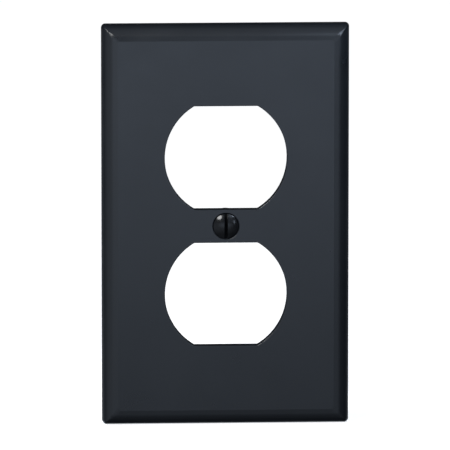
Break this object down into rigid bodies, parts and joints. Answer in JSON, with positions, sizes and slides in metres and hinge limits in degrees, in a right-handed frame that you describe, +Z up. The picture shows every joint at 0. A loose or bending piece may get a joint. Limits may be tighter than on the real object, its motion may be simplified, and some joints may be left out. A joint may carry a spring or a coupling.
{
  "type": "duplex receptacle wall plate",
  "caption": "Moulded one-gang wall plate with flat-sided round openings for a duplex receptacle, bevelled edges, and an oval-head screw that turns and lifts in its countersunk hole.",
  "frame": {"origin": "where the plate screw's axis meets the wall plane, which is the middle of the plate's back", "axes": "+Z up along the plate's height, +X across its width, +Y into the wall, so the face looks along -Y"},
  "size_m": [0.0698, 0.0139, 0.1142],
  "materials": {
    "plate_plastic": "satin blue-black moulded plastic",
    "screw_paint": "glossy black enamel on steel",
    "washer_nylon": "natural nylon"
  },
  "bodies": {
    "plate": {"wall_plate": "plate_plastic"},
    "washer": {"retaining_washer": "washer_nylon"},
    "screw": {"plate_screw": "screw_paint"}
  },
  "joints": [
    {"name": "screw_lift", "type": "slide", "parent": "plate", "child": "washer", "axis": [0, -1, 0], "range_m": [0, 0.0025]},
    {"name": "screw_turn", "type": "hinge", "parent": "washer", "child": "screw", "pos_m": [0, 0, 0], "axis": [0, -1, 0], "continuous": true}
  ]
}
